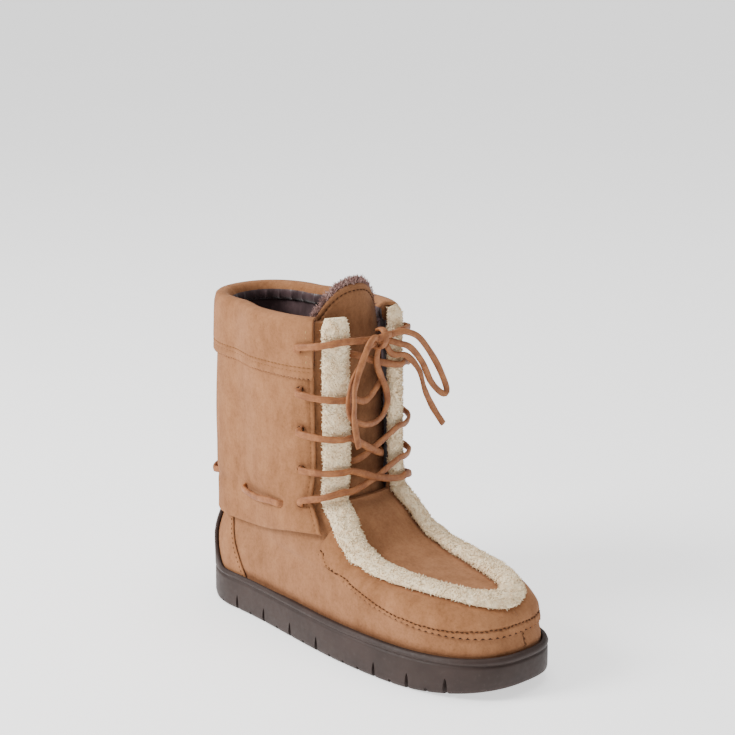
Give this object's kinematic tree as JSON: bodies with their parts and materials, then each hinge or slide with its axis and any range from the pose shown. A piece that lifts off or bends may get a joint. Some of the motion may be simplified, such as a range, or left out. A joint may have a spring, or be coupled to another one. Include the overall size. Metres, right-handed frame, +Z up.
{
  "type": "moccasin boot",
  "caption": "Right ankle boot in tan suede with a moccasin apron, cream wool trim, wrapped shaft, folded cuff, tongue and leather lace over a moulded rubber sole.",
  "frame": {"origin": "on the floor at the middle of the heel's flat", "axes": "+X to the toe, +Y to the inner side of the foot, +Z up"},
  "size_m": [0.2874, 0.1161, 0.241],
  "materials": {
    "suede": "brushed tan suede",
    "rubber": "matt brown moulded rubber",
    "wool": "cropped cream wool",
    "thong": "orange-tan leather thong"
  },
  "bodies": {
    "root": {"outsole": "rubber", "insole": "wool", "upper": "suede", "tongue": "suede", "counter": "suede", "apron": "suede", "shaft_wrap": "suede", "cuff": "suede", "wool_trim": "wool", "ankle_thong_outer": "thong", "ankle_thong_back": "thong", "ankle_thong_inner": "thong", "lace_crossing_low": "thong", "lace_crossing_middle": "thong", "lace_bar_left": "thong", "lace_bar_right": "thong", "lace_knot": "thong", "lace_loop_left": "thong", "lace_loop_right": "thong", "lace_end_left": "thong", "lace_end_right": "thong"}
  },
  "joints": []
}
